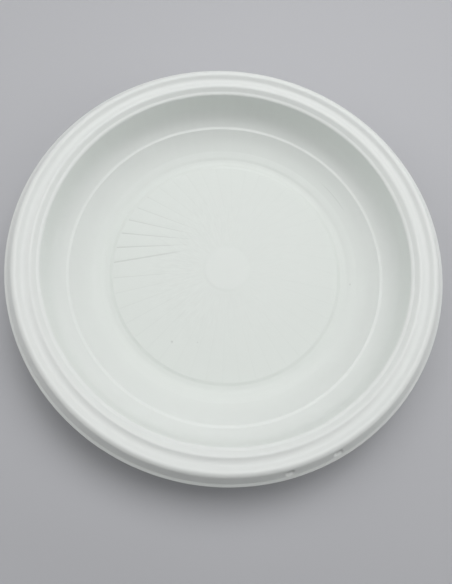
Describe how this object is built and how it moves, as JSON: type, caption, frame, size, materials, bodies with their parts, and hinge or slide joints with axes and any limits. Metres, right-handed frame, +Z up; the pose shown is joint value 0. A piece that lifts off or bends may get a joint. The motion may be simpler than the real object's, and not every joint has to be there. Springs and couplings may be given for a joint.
{
  "type": "plastic plate",
  "caption": "Deep round disposable plate in thin white plastic, with a stepped wall, a beaded rim and a short turned-down skirt.",
  "frame": {"origin": "centre of the bounding box's underside, which is the centre of the ring the plate rests on", "axes": "+Z up along the plate's axis; the two stacking lugs lie near -Y, a little towards +X"},
  "size_m": [0.22, 0.22, 0.031],
  "materials": {
    "plastic": "satin white moulded plastic"
  },
  "bodies": {
    "root": {"plate": "plastic"}
  },
  "joints": []
}
